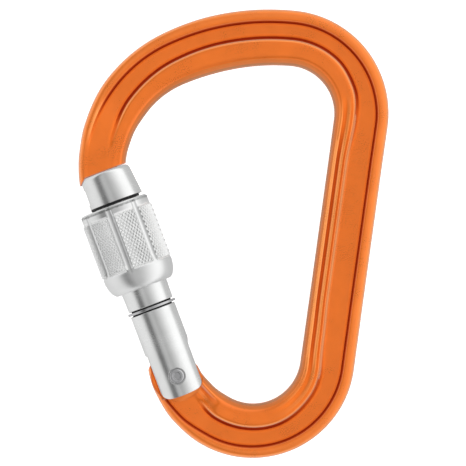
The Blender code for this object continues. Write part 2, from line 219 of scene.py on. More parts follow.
@dataclass(frozen=True)
class Finish:
    """A surface finish: its colour and gloss, and the grain that tools or moulds leave in it."""

    slot: Slot
    color: Color
    roughness: float
    grain: Grain
    grain_scale: float
    grain_depth: float
    metallic: float = 1.0
    specular: float = 0.0
    spread: float = 0.06
    mottle: float = 0.05
    cloud_scale: float = 180.0
    anisotropic: float = 0.0
    coat: float = 0.0
    coat_roughness: float = 0.2
    edge: float = 0.0
    # whether the tint's painted shade also takes away metal and coat shine, and how steeply
    shade_dims_gloss: bool = False
    dulling: float = 4.0

    def grain_value(self, graph: Graph) -> bpy.types.NodeSocket:
        """The grain, as specks all ways or as rings about the piece's Y axis.

        Args:
            graph: the material's nodes.

        Returns:
            A value about 0.5.
        """
        place = graph.node("TexCoord").outputs["Object"]
        if self.grain is Grain.TURNED:
            along = graph.node("SeparateXYZ", {0: place}).outputs["Y"]
            feeds = {"W": along, "Scale": self.grain_scale, "Detail": 3.0}
            return graph.node("TexNoise", feeds, noise_dimensions="1D").outputs[0]
        return graph.node("TexNoise", {"Vector": place, "Scale": self.grain_scale, "Detail": 4.0}).outputs[0]

    def cloud(self, graph: Graph) -> bpy.types.NodeSocket:
        """A slow variation over the piece, as handling and dye leave it.

        Args:
            graph: the material's nodes.

        Returns:
            A value about 0.5.
        """
        place = graph.node("TexCoord").outputs["Object"]
        feeds = {"Vector": place, "Scale": self.cloud_scale, "Detail": 2.0}
        return graph.node("TexNoise", feeds).outputs[0]

    def shade(self, graph: Graph) -> bpy.types.NodeSocket:
        """The surface's colour, a little lighter and darker from place to place, times its tint of painted
        shade and highlights.

        Args:
            graph: the material's nodes.

        Returns:
            The colour.
        """
        low = tuple(part * (1 - self.mottle) for part in self.color)
        high = tuple(min(1.0, part * (1 + self.mottle)) for part in self.color)
        plain = graph.ramp(self.cloud(graph), ((0.3, low), (0.7, high)))
        tint = graph.node("Attribute", attribute_name=TINT).outputs["Color"]
        mixed = graph.node("Mix", {0: 1.0, 6: plain, 7: tint}, data_type="RGBA", blend_type="MULTIPLY")
        return mixed.outputs[2]

    def dulled(self, graph: Graph, full: float) -> bpy.types.NodeSocket | float:
        """What is left of a gloss where the tint's painted shade takes it away.

        Args:
            graph: the material's nodes.
            full: the gloss of the clean surface.

        Returns:
            A socket that falls with the tint, or the plain number where no tint can change it.
        """
        if not (self.shade_dims_gloss and full):
            return full
        tint = graph.node("Attribute", attribute_name=TINT).outputs["Color"]
        green = graph.node("SeparateColor", {0: tint}).outputs[1]
        clean = graph.math("POWER", graph.math("MINIMUM", green, 1.0), self.dulling)
        return graph.math("MULTIPLY", clean, full)

    def gloss(self, graph: Graph) -> bpy.types.NodeSocket:
        """The roughness, which varies with the grain and the cloud.

        Args:
            graph: the material's nodes.

        Returns:
            A value about the finish's roughness.
        """
        mixed = graph.math("ADD", self.grain_value(graph), self.cloud(graph))
        swing = graph.math("MULTIPLY", graph.math("SUBTRACT", mixed, 1.0), 2 * self.spread)
        return graph.math("ADD", swing, self.roughness)

    def relief(self, graph: Graph) -> bpy.types.NodeSocket:
        """The grain's bumps, over edges that are softened where the finish asks for it.

        Args:
            graph: the material's nodes.

        Returns:
            The normal.
        """
        feeds = {"Height": self.grain_value(graph), "Distance": self.grain_depth, "Strength": 1.0}
        if self.edge:
            feeds["Normal"] = graph.node("Bevel", {"Radius": self.edge}, samples=6).outputs[0]
        return graph.node("Bump", feeds).outputs[0]

    def material(self) -> bpy.types.Material:
        """Build the finish.

        Returns:
            A material of Principled nodes.
        """
        made = bpy.data.materials.new(self.slot.value)
        made.use_nodes = True
        graph = Graph(made.node_tree)
        feeds = {
            "Base Color": self.shade(graph), "Roughness": self.gloss(graph), "Normal": self.relief(graph),
            "Metallic": self.dulled(graph, self.metallic), "Specular IOR Level": self.specular,
            "Coat Weight": self.dulled(graph, self.coat), "Coat Roughness": self.coat_roughness,
            "Anisotropic": self.anisotropic,
        }
        if self.anisotropic:
            feeds["Tangent"] = graph.node("Tangent", direction_type="RADIAL", axis="Y").outputs[0]
        shader = graph.node("BsdfPrincipled", feeds)
        graph.node("OutputMaterial", {"Surface": shader.outputs[0]})
        return made


ALUMINIUM, STEEL = (0.9, 0.905, 0.9), (0.62, 0.62, 0.63)
ORANGE_ANODISING = Finish(
    Slot.ORANGE, (0.87, 0.185, 0.018), 0.3, Grain.BLASTED, 5200, 0.006 * MM,
    metallic=0.6, coat=0.68, shade_dims_gloss=True,
)
BRIGHT_TURNING = Finish(
    Slot.BRIGHT, ALUMINIUM, 0.24, Grain.TURNED, 9000, 0.003 * MM,
    anisotropic=0.35, edge=0.12 * MM, shade_dims_gloss=True,
)
KNURLING = Finish(Slot.KNURLED, ALUMINIUM, 0.36, Grain.TURNED, 7000, 0.004 * MM, shade_dims_gloss=True)
STAINLESS = Finish(Slot.STAINLESS, STEEL, 0.26, Grain.TURNED, 9000, 0.002 * MM, shade_dims_gloss=True)
SPRING_WIRE = Finish(Slot.SPRING, (0.5, 0.5, 0.52), 0.3, Grain.BLASTED, 6000, 0.002 * MM)
RUBBER = Finish(
    Slot.RUBBER, (0.012, 0.012, 0.013), 0.55, Grain.MOULDED, 4000, 0.004 * MM, metallic=0.0, specular=0.5
)


# ---------------------------------------------------------------- meshes


def rounded(points: Sequence[tuple[float, float, float]], steps: int) -> Outline:
    """Round the corners of a line.

    Args:
        points: (x, y, how far from the corner its rounding starts), with sharp ends.
        steps: pieces in each corner.

    Returns:
        The rounded line, with steps + 1 points for each corner and one for each end.
    """
    made = [points[0][:2]]
    for before, corner, after in zip(points, points[1:], points[2:]):
        here = Vector(corner[:2])
        into, out = here - Vector(before[:2]), Vector(after[:2]) - here
        start = here - into.normalized() * min(corner[2], 0.48 * into.length)
        end = here + out.normalized() * min(corner[2], 0.48 * out.length)
        for n in range(steps + 1):
            share = n / steps
            made.append(tuple(start.lerp(here, share).lerp(here.lerp(end, share), share)))
    return [*made, points[-1][:2]]


def grid_faces(rows: int, columns: int, wrap: bool) -> list[tuple[int, ...]]:
    """Quads between a grid's points.

    Args:
        rows: how many rows there are.
        columns: how many points a row has, the last one beside the first.
        wrap: True if the last row meets the first.

    Returns:
        The faces' vertex numbers.
    """
    faces = []
    for row in range(rows if wrap else rows - 1):
        low, high = row * columns, (row + 1) % rows * columns
        for n in range(columns):
            m = (n + 1) % columns
            faces.append((low + n, low + m, high + m, high + n))
    return faces


def new_piece(name: str, points: Sequence[Sequence[float]], faces: Sequence[Sequence[int]],
              place: Matrix, tints: Sequence[Color] = ()) -> bpy.types.Object:
    """Make an object from points and faces.

    Args:
        name: the object's name.
        points: the vertices, in the piece's own frame.
        faces: the faces' vertex numbers.
        place: the piece's own frame.
        tints: the painted shade and highlight factors of each vertex, all plain if there are none.

    Returns:
        The object, with merged doubles and faces that point out.
    """
    mesh, work = bpy.data.meshes.new(name), bmesh.new()
    layer = work.verts.layers.float_color.new(TINT)
    corners = [work.verts.new(point) for point in points]
    for corner, tint in zip(corners, tints or [Tone.PLAIN.value] * len(points)):
        corner[layer] = (*tint, 1)
    for face in faces:
        work.faces.new([corners[n] for n in face])
    bmesh.ops.remove_doubles(work, verts=work.verts, dist=WELD)
    bmesh.ops.recalc_face_normals(work, faces=work.faces)
    work.to_mesh(mesh)
    work.free()
    thing = bpy.data.objects.new(name, mesh)
    bpy.context.scene.collection.objects.link(thing)
    thing.matrix_world = place
    return thing


def lathe(name: str, profile: Outline, place: Matrix, turns: Sequence[float] | int, closed: bool = False,
          relief: Callable[[float, float, float], float] | None = None,
          shift: float = 0.0) -> bpy.types.Object:
    """Turn a profile about the Y axis.

    Args:
        name: the object's name.
        profile: (radius, distance along Y).
        place: the piece's own frame.
        turns: the angles of the columns, from +Z towards +X, or how many even ones.
        closed: True if the profile's end meets its start.
        relief: a function of (angle, distance along Y, radius) that gives the radius there.
        shift: the axis's distance along X.

    Returns:
        The object.
    """
    angles = [2 * math.pi * n / turns for n in range(turns)] if isinstance(turns, int) else list(turns)
    points = []
    for radius, along in profile:
        for turn in angles:
            here = relief(turn, along, radius) if relief else radius
            points.append((shift + here * math.sin(turn), along, here * math.cos(turn)))
    return new_piece(name, points, grid_faces(len(profile), len(angles), closed), place)


def slab(name: str, outline: Outline, low: float, high: float, place: Matrix) -> bpy.types.Object:
    """Make a flat outline solid.

    Args:
        name: the object's name.
        outline: (x, y) of its corners, in the piece's own frame.
        low: the height of its underside.
        high: the height of its top.
        place: the piece's own frame.

    Returns:
        The object.
    """
    count = len(outline)
    points = [(x, y, low) for x, y in outline] + [(x, y, high) for x, y in outline]
    sides = [(n, (n + 1) % count, count + (n + 1) % count, count + n) for n in range(count)]
    faces = [*sides, tuple(range(count)), tuple(range(count, 2 * count))]
    return new_piece(name, points, faces, place)


def disc(radius: float, steps: int = 64, centre: Point = (0.0, 0.0)) -> Outline:
    """The outline of a circle."""
    turns = [2 * math.pi * n / steps for n in range(steps)]
    return [(centre[0] + radius * math.cos(turn), centre[1] + radius * math.sin(turn)) for turn in turns]


def combine(thing: bpy.types.Object, operation: str, other: bpy.types.Object) -> None:
    """Cut, join or intersect an object with another.

    Args:
        thing: the object that changes.
        operation: DIFFERENCE, UNION or INTERSECT.
        other: the other object, which is used up.
    """
    step = thing.modifiers.new(other.name, "BOOLEAN")
    step.operation, step.object, step.solver = operation, other, "EXACT"
    bpy.context.view_layer.update()
    shown = thing.evaluated_get(bpy.context.evaluated_depsgraph_get())
    thing.data = bpy.data.meshes.new_from_object(shown)
    thing.modifiers.clear()
    bpy.data.objects.remove(other, do_unlink=True)


def place_piece(piece: bpy.types.Object, body: Body, node: str, finish: Finish, crease: float = 35.0) -> None:
    """Shade a piece, give it its finish and make it ride.

    Args:
        piece: the piece, where it belongs.
        body: what it rides on.
        node: the node that it stands for.
        finish: its finish.
        crease: the angle in degrees past which an edge is sharp.
    """
    piece.data.shade_smooth()
    piece.data.set_sharp_from_angle(angle=math.radians(crease))
    piece.data.materials.clear()
    piece.data.materials.append(finish.material())
    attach(piece, body.value)
    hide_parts(node)
    faces = len(piece.data.polygons)
    LOG.info("%s: %d faces, rides on %s, stands for %s", piece.name, faces, body.value, node)


# ---------------------------------------------------------------- the bar


@dataclass(frozen=True)
class Section:
    """Half of the bar's I-section: widths across the bar, heights from its middle plane."""

    width: float
    rim: float
    rim_height: float
    web_height: float
    bearing: float
    bearing_height: float
    ridge: float
    valley: float

    def blend(self, other: "Section", share: float) -> "Section":
        """The section between this one and another."""
        return Section(*(a + (b - a) * share for a, b in zip(astuple(self), astuple(other))))

    def upper_half(self) -> tuple[Outline, list[Color]]:
        """Draw the section from the outer edge to the inner edge.

        Returns:
            (distance in from the outer edge, height), with rounded corners, and the tint of each point:
            painted shade in the grooves and at the edges, painted highlights on the crests.
        """
        width, rim, bearing, ridge, valley = self.width, self.rim, self.bearing, self.ridge, self.valley
        high, web, crest = self.rim_height, self.web_height, self.bearing_height
        edge, foot = min(1.1 * MM, 0.7 * rim), width - bearing
        # how far each side is a full step down to the web, and how far the inner one is two ridges instead
        outer, inner = smooth((high - web) / (1.4 * MM)), smooth((crest - web) / (1.6 * MM))
        ribbed = min(1.0, valley / (0.9 * MM))
        step = inner * (1 - ribbed)
        # painted highlight where the outer groove fades out
        fading = 0.8 * 4 * outer * (1 - outer)
        riser = (Tone.GROOVE, 0.8 * step) if ribbed < 0.5 else (Tone.CREST, 0.9 * ribbed)
        # each row's tone and weight paint light into the section: GROOVE painted shade, CREST painted
        # highlight, EDGE painted shade
        line = (
            (0, 0, 0, Tone.EDGE, 1),
            (0, 0.35 * high, 0.8 * MM, Tone.EDGE, 0.8),
            (0.3 * edge, 0.82 * high, 0.6 * MM, Tone.CREST, 0.6),
            (edge, high, 0.6 * MM, Tone.CREST, 0.15),
            (rim - 0.35 * MM, high, 0.3 * MM, Tone.CREST, fading),
            (rim - 0.05 * MM, web + 0.5 * (high - web), 0.15 * MM, Tone.GROOVE, 0.8 * outer),
            (rim + 0.15 * MM, web - 0.3 * MM * outer, 0.15 * MM, Tone.GROOVE, outer),
            (rim + 0.45 * MM, web, 0.2 * MM, Tone.GROOVE, 0.3 * outer),
            (rim + 0.9 * MM, web, 0.1 * MM, Tone.PLAIN, 0),
            (foot - 1.6 * MM, web, 0.1 * MM, Tone.PLAIN, 0),
            (foot - 1.15 * MM, web, 0.2 * MM, Tone.GROOVE, 0.3 * step),
            (foot - 0.75 * MM, web - 0.35 * MM * step, 0.2 * MM, Tone.GROOVE, step),
            (foot - 0.35 * MM, web + 0.4 * (crest - web), 0.2 * MM, *riser),
            (foot, web + 0.85 * (crest - web), 0.3 * MM, Tone.CREST, 0.7 * inner * (1 - 0.7 * ribbed)),
            (foot + 0.1 * bearing, crest, 0.9 * MM, Tone.GROOVE, 0.6 * ribbed),
            (foot + 0.25 * bearing, crest, 0.5 * MM, Tone.CREST, 0.7 * ribbed),
            (foot + 0.48 * bearing, min(crest, ridge) - valley, 0.6 * MM, Tone.GROOVE, 0.75 * ribbed),
            (foot + 0.66 * bearing, ridge, 0.7 * MM, Tone.CREST, 0.8 * ribbed),
            (foot + 0.86 * bearing, 0.78 * ridge, 0.9 * MM, Tone.EDGE, 0.5),
            (foot + 0.97 * bearing, 0.47 * ridge, 0.8 * MM, Tone.EDGE, 1),
            (width, 0.15 * ridge, 0.6 * MM, Tone.EDGE, 1),
            (width, 0, 0, Tone.EDGE, 1),
        )
        steps = 3
        tints = [tone.at(weight) for _, _, _, tone, weight in line]
        inside = [tint for tint in tints[1:-1] for _ in range(steps + 1)]
        return rounded([row[:3] for row in line], steps), [tints[0], *inside, tints[-1]]


@dataclass(frozen=True)
class Bar:
    """The forged bar, with its tang and keylock nose."""

    name: str = "forged_bar"
    spine_across: float = 33.4 * MM
    spine_foot: float = 6.74 * MM
    spine_length: float = 55.6 * MM
    head_bends: tuple[Point, ...] = ((17.05, 92.7), (53.7, 29.75), (27.8, 78.0))
    foot_bends: tuple[Point, ...] = ((17.0, 109.9), (21.6, 50.5))
    step: float = 0.7 * MM
    end: float = 49.25 * MM
    nose_left: float = -4.3 * MM
    nose_right: float = 4.2 * MM
    head_low: float = 43.6 * MM
    head_top: float = 46.5 * MM
    head_half: float = 1.6 * MM
    neck_half: float = 0.9 * MM
    tang_half: float = 1.85 * MM
    tang_radius: float = 4.3 * MM
    cam_rise: float = 1.4 * MM
    opening: float = math.radians(48)
    pocket_half: float = 1.95 * MM
    cheek_half: float = 5.0 * MM
    foot_radius: float = 5.9 * MM
    pin_hole: float = 1.32 * MM
    # distance from the foot of the spine, then the fields of a Section, all in millimetres
    sections: tuple[tuple[float, ...], ...] = (
        (-52, 10.4, 1.2, 3.5, 1.9, 3.4, 1.9, 3.6, 0.3),
        (-46, 11.3, 1.2, 3.9, 1.9, 3.6, 1.9, 3.8, 0.3),
        (-40, 12.0, 1.9, 4.2, 2.1, 4.2, 2.3, 4.2, 0.3),
        (-33.5, 12.4, 2.6, 4.4, 2.7, 5.0, 5.1, 4.9, 0),
        (-20, 12.3, 2.7, 4.5, 2.7, 5.0, 5.2, 5.0, 0),
        (-8, 12.3, 2.7, 4.5, 2.7, 4.6, 4.9, 4.7, 0.3),
        (6, 12.25, 2.7, 4.4, 2.7, 4.0, 4.4, 4.3, 0.8),
        (16, 12.2, 2.7, 4.3, 2.7, 3.7, 4.2, 4.1, 0.9),
        (46, 12.2, 2.7, 4.3, 2.7, 3.7, 4.2, 4.1, 0.9),
        (56, 12.3, 2.7, 4.4, 2.7, 4.3, 4.4, 4.3, 0.5),
        (64, 12.3, 2.8, 4.4, 2.7, 4.9, 4.9, 4.7, 0),
        (72, 12.4, 2.9, 4.5, 2.7, 5.3, 5.2, 5.0, 0),
        (100, 12.8, 2.9, 4.5, 2.7, 5.6, 5.2, 5.0, 0),
        (125, 11.8, 2.6, 4.4, 2.9, 4.4, 4.8, 4.6, 0),
        (134, 11.1, 2.2, 4.3, 3.8, 3.6, 4.4, 4.25, 0),
        (139, 10.7, 2.0, 4.25, 4.2, 3.3, 4.25, 4.1, 0),
        (152, 10.0, 2.0, 4.25, 4.2, 3.3, 4.25, 4.1, 0),
    )

    def section_at(self, distance: float) -> Section:
        """The section at a distance from the foot of the spine, easing between the listed ones."""
        rows = [(row[0] * MM, Section(*(size * MM for size in row[1:]))) for row in self.sections]
        for (low, before), (high, after) in zip(rows, rows[1:]):
            if distance <= high:
                return before.blend(after, smooth((distance - low) / (high - low)))
        return rows[-1][1]

    def walk(self, point: Vector, heading: float, bends: Sequence[Point],
             turn: int) -> list[tuple[Vector, float, float]]:
        """Follow tangent bends.

        Args:
            point: where the first bend starts.
            heading: the direction there.
            bends: (radius in millimetres, angle in degrees) of each bend.
            turn: 1 to turn left, -1 to turn right.

        Returns:
            (point, heading, distance) along the bends.
        """
        travelled, stops = 0.0, []
        for radius, angle in ((size * MM, math.radians(degrees)) for size, degrees in bends):
            count = round(radius * angle / self.step)
            centre = point + radius * turn * Vector((-math.sin(heading), math.cos(heading)))
            for n in range(1, count + 1):
                now = heading + turn * angle * n / count
                spot = centre - radius * turn * Vector((-math.sin(now), math.cos(now)))
                stops.append((spot, now, travelled + radius * angle * n / count))
            point, heading, travelled = spot, now, travelled + radius * angle
        return stops

    def stations(self) -> list[tuple[Vector, Vector, float]]:
        """Walk the bar's centreline.

        Returns:
            (centre, outward direction, distance from the foot of the spine) from the hinge to the nose.
        """
        hinge = GATE.translation.to_2d()
        foot = hinge + Vector((self.spine_across, self.spine_foot))
        top = foot + Vector((0, self.spine_length))
        down_way, up_way = math.radians(-90), math.radians(90)
        to_hinge = [
            (spot, Vector((-math.sin(way), math.cos(way))), -far)
            for spot, way, far in reversed(self.walk(foot, down_way, self.foot_bends, -1))
        ]
        count = round(self.spine_length / self.step)
        spine = [
            (foot.lerp(top, n / count), Vector((1, 0)), self.spine_length * n / count)
            for n in range(count + 1)
        ]
        to_nose = [
            (spot, Vector((math.sin(way), -math.cos(way))), self.spine_length + far)
            for spot, way, far in self.walk(top, up_way, self.head_bends, 1)
        ]
        return to_hinge + spine + to_nose

    def loft(self) -> bpy.types.Object:
        """Skin the section along the centreline.

        Returns:
            The plain bar, with a flat cap at each end.
        """
        points, tints, columns, stations = [], [], 0, self.stations()
        for centre, outward, distance in stations:
            section = self.section_at(distance)
            upper, tones = section.upper_half()
            outline = upper + [(across, -height) for across, height in reversed(upper[1:-1])]
            edge = centre + outward * section.width / 2
            points += [(*(edge - outward * across), height) for across, height in outline]
            tints += tones + tones[-2:0:-1]
            columns = len(outline)
        faces = grid_faces(len(stations), columns, False)
        caps = [tuple(range(columns)), tuple(range(len(points) - columns, len(points)))]
        return new_piece(self.name, points, [*faces, *caps], Matrix.Identity(4), tints)

    def ring_sector(self, low: float, high: float, left: float, right: float) -> Outline:
        """Draw a stretch of a ring about the hinge.

        Args:
            low: the inner radius.
            high: the outer radius.
            left: how far across the gate's axis it starts.
            right: how far across the gate's axis it ends.

        Returns:
            Its outline, inner arc first.
        """
        outline = []
        for radius, ends in ((low, (left, right)), (high, (right, left))):
            start, end = (math.asin(across / radius) for across in ends)
            turns = [start + (end - start) * n / 16 for n in range(17)]
            outline += [(radius * math.sin(turn), radius * math.cos(turn)) for turn in turns]
        return outline

    def tang(self) -> Outline:
        """Draw the round boss about the hinge.

        Returns:
            Its outline, with the spiral that lifts the plunger as the gate opens.
        """
        top, fade, outline = self.opening + math.radians(6), math.radians(25), []
        for degrees in range(0, 360, 4):
            turn = math.radians(degrees)
            rise = self.cam_rise * min(turn, top)
            if turn > top:
                rise *= max(0.0, 1 - (turn - top) / fade)
            radius = self.tang_radius + rise
            outline.append((radius * math.sin(turn), radius * math.cos(turn)))
        return outline

    def pocket(self) -> Outline:
        """Draw the room that the gate's cheeks sweep beside the tang.

        Returns:
            Its outline, from closed to open.
        """
        reach, far = self.cheek_half, 14 * MM
        across, along = math.cos(self.opening), math.sin(self.opening)
        foot = Vector((reach * across, -reach * along))
        end = foot + far * Vector((along, across))
        return [(-reach, -0.8 * reach), (-reach, far), (end.x, far), tuple(end), tuple(foot)]

    def hinge_rooms(self) -> tuple[Outline, Outline]:
        """Draw the spaces beside the cheeks.

        Returns:
            The space above the bar's outer lip, and the one above the blade of its inner rim.
        """
        far, high = 12 * MM, 15 * MM
        lip = [(-far, 1.8 * MM), (-6.4 * MM, 2.6 * MM), (-5.5 * MM, 3.7 * MM), (-4.6 * MM, 4.6 * MM)]
        blade = [(4.3 * MM, 1.6 * MM), (5.1 * MM, 0.4 * MM), (far, -1.5 * MM)]
        return [(-far, high), *lip, (-4.6 * MM, high)], [(4.3 * MM, high), *blade, (far, high)]

    def nose_room(self) -> Outline:
        """Draw the space at the bar's end.

        Returns:
            Its outline, straight across, which leaves a lip of the bar standing on the outside.
        """
        far, low = 15 * MM, 30 * MM
        lip = (-3.7 * MM, self.end), (-5.3 * MM, self.end - 1.35 * MM), (-far, self.end - 2.1 * MM)
        return [(far, low), (far, self.end), *lip, (-far, low)]

    def build(self) -> bpy.types.Object:
        """Make the bar.

        Returns:
            The bar as one closed mesh.
        """
        bar, high, inset = self.loft(), 9 * MM, 0.3 * MM
        for name, low, top in (("front", self.pocket_half, high), ("back", -high, -self.pocket_half)):
            sweep = slab(name + "_pocket", self.pocket(), low, top, GATE)
            combine(sweep, "UNION", slab(name + "_foot", disc(self.foot_radius), low, top, GATE))
            combine(bar, "DIFFERENCE", sweep)
        combine(bar, "DIFFERENCE", slab("tip_room", self.nose_room(), -high, high, GATE))
        for room in self.hinge_rooms():
            combine(bar, "DIFFERENCE", slab("hinge_room", room, -high, high, GATE))
        neck = self.ring_sector(
            self.head_top - inset, self.end + 2 * inset, self.nose_left + inset, self.nose_right - inset
        )
        head = self.ring_sector(self.head_low, self.head_top, self.nose_left, self.nose_right)
        combine(bar, "UNION", slab("tang", self.tang(), -self.tang_half, self.tang_half, GATE))
        combine(bar, "UNION", slab("nose_neck", neck, -self.neck_half, self.neck_half, GATE))
        combine(bar, "UNION", slab("nose_head", head, -self.head_half, self.head_half, GATE))
        combine(bar, "DIFFERENCE", slab("pin_hole", disc(self.pin_hole), -high, high, GATE))
        return bar

    def dress(self) -> None:
        """Build the bar, place it and keep it out of the bright pieces' reflections."""
        bar = self.build()
        place_piece(bar, Body.BAR, "body", ORANGE_ANODISING, 30)
        bar.visible_glossy = False


# ---------------------------------------------------------------- the gate


@dataclass(frozen=True)
class Gate:
    """The gate: a turned tube with a fork at the hinge, a screw thread and a slotted, offset tip.

    The tip's columns are such that its edges miss the neck's corners, so that the two join cleanly.
    """

    name: str = "gate_tube"
    tube: float = 5.3 * MM
    thread: float = 5.6 * MM
    thread_low: float = 27.6 * MM
    thread_top: float = 37.8 * MM
    lead: float = 2.5 * MM
    foot: float = -4.3 * MM
    cheek_half: float = 4.82 * MM
    cheek_top: float = 5.2 * MM
    fork_half: float = 2.05 * MM
    fork_top: float = 6.4 * MM
    bore: float = 2.7 * MM
    bore_top: float = 27.0 * MM
    tip_low: float = 41.85 * MM
    tip_top: float = 49.05 * MM
    tip_shift: float = 1.0 * MM
    tip_radius_low: float = 6.2 * MM
    tip_radius_top: float = 5.8 * MM
    tip_lean: float = 0.05
    tip_columns: int = 126
    corner_across: float = -3.6 * MM
    corner_slope: float = 0.85
    neck: float = 4.2 * MM
    groove: float = 4.7 * MM
    groove_middle: float = 16.45 * MM
    groove_half: float = 0.6 * MM
    gap: float = 0.25 * MM
    sink: float = 1.95 * MM
    sink_floor: float = 4.45 * MM

    def thread_relief(self, turn: float, along: float, radius: float) -> float:
        """Cut a right-hand thread.

        Args:
            turn: the angle about the gate.
            along: the distance along the gate.
            radius: the plain radius.

        Returns:
            The radius there, less between the thread's crests.
        """
        if radius <= self.tube or not self.thread_low < along < self.thread_top:
            return radius
        flank = 3 * wave(along / self.lead - turn / (2 * math.pi)) - 1
        fade = smooth(min(along - self.thread_low, self.thread_top - along) / (0.8 * MM))
        return self.tube + (self.thread - self.tube) * min(1.0, max(0.0, flank)) * fade

    def tube_profile(self) -> Outline:
        """Draw the tube.

        Returns:
            (radius, distance along the gate) from its hidden top to its foot.
        """
        step, chamfer = 0.25 * MM, 0.12 * MM
        count = round((self.thread_top - self.thread_low) / step)
        thread = [(self.thread, self.thread_top - step * n) for n in range(count + 1)]
        high, low = self.groove_middle + self.groove_half, self.groove_middle - self.groove_half
        return [
            (0, self.tip_low + 0.5 * MM), (self.neck, self.tip_low + 0.5 * MM),
            (self.neck, self.tip_low - 0.6 * MM), (self.tube - chamfer, self.tip_low - 0.6 * MM),
            (self.tube, self.tip_low - 0.6 * MM - chamfer), *thread,
            (self.tube, high + chamfer), (self.tube - chamfer, high), (self.groove, high),
            (self.groove, low), (self.tube - chamfer, low), (self.tube, low - chamfer),
            (self.tube, self.foot - 1 * MM), (0, self.foot - 1 * MM),
        ]

    def tip(self) -> bpy.types.Object:
        """Make the wider end that closes on the nose.

        Returns:
            The tip, which leans and tapers a little, with a round crown and its outer corner cut off.
        """
        low, high = self.tip_radius_low, self.tip_radius_top
        line = (
            (0, self.tip_top, 0), (high, self.tip_top, 1.1 * MM), (low, self.tip_low, 0.15 * MM),
            (0, self.tip_low, 0),
        )
        tip = lathe("tip", rounded(line, 6), GATE, self.tip_columns, shift=self.tip_shift)
        for vertex in tip.data.vertices:
            vertex.co.x -= self.tip_lean * (vertex.co.y - self.tip_low)
        near, reach, start, over = self.corner_across, 6 * MM, self.tip_top + 0.1 * MM, self.tip_top + 2 * MM
        corner = [
            (near, over), (near, start),
            (near - reach, start - reach * self.corner_slope), (near - reach, over),
        ]
        combine(tip, "DIFFERENCE", slab("tip_corner", corner, -9 * MM, 9 * MM, GATE))
        return tip

    def silhouette(self) -> Outline:
        """Draw the gate's outline from the front.

        Returns:
            Flat-sided cheeks with rounded corners, then the full width.
        """
        half, wide, top = self.cheek_half, 9 * MM, 60 * MM
        left_high, right_high = self.cheek_top, self.cheek_top + 1.6 * MM
        left_full, right_full = left_high + 2.4 * MM, right_high + 1.1 * MM
        line = (
            (-wide, top, 0), (-wide, left_full, 0), (-self.tube - 0.1 * MM, left_full, 0),
            (-half, left_high - 1.0 * MM, 0.6 * MM), (-half, self.foot, 2.2 * MM),
            (-0.2 * MM, self.foot - 0.35 * MM, 3 * MM), (half, self.foot + 0.1 * MM, 1.8 * MM),
            (half, right_high - 1.0 * MM, 0.6 * MM), (self.tube + 0.1 * MM, right_full, 0),
            (wide, right_full, 0), (wide, top, 0),
        )
        return rounded(line, 6)

    def build(self) -> bpy.types.Object:
        """Make the gate.

        Returns:
            The gate as one closed mesh.
        """
        gate = lathe(self.name, self.tube_profile(), GATE, 128, relief=self.thread_relief)
        # paint shade, near black, into the stop ring's groove
        for vertex, tint in zip(gate.data.vertices, gate.data.attributes[TINT].data):
            if abs(vertex.co.y - self.groove_middle) <= self.groove_half + 0.01 * MM:
                tint.color = (*Tone.DEEP_SHADE.value, 1)
        combine(gate, "UNION", self.tip())
        far, gap, bar = 9 * MM, self.gap, Bar()
        combine(gate, "INTERSECT", slab("silhouette", self.silhouette(), -far, far, GATE))
        fork = [(-far, -far), (far, -far), (far, self.fork_top), (-far, self.fork_top)]
        combine(gate, "DIFFERENCE", slab("fork", fork, -self.fork_half, self.fork_half, GATE))
        bore = [(0, 0), (self.bore, 0), (self.bore, self.bore_top), (0, self.bore_top)]
        combine(gate, "DIFFERENCE", lathe("bore", bore, GATE, 64))
        right = bar.nose_right + gap
        for name, low, high, half in (
            ("head_slot", bar.head_low - gap, bar.head_top + gap, bar.head_half + gap),
            ("neck_slot", bar.head_top, self.tip_top + 3 * MM, bar.neck_half + gap),
        ):
            slot = bar.ring_sector(low, high, -far, right)
            combine(gate, "DIFFERENCE", slab(name, slot, -half, half, GATE))
        combine(gate, "DIFFERENCE", slab("rivet_hole", disc(bar.pin_hole), -far, far, GATE))
        for name, low, high in (("front_sink", self.sink_floor, far), ("back_sink", -far, -self.sink_floor)):
            combine(gate, "DIFFERENCE", slab(name, disc(self.sink), low, high, GATE))
        return gate

    def dress(self) -> None:
        """Build the gate and place it."""
        place_piece(self.build(), Body.GATE, "gate", BRIGHT_TURNING)


# ---------------------------------------------------------------- the sleeve


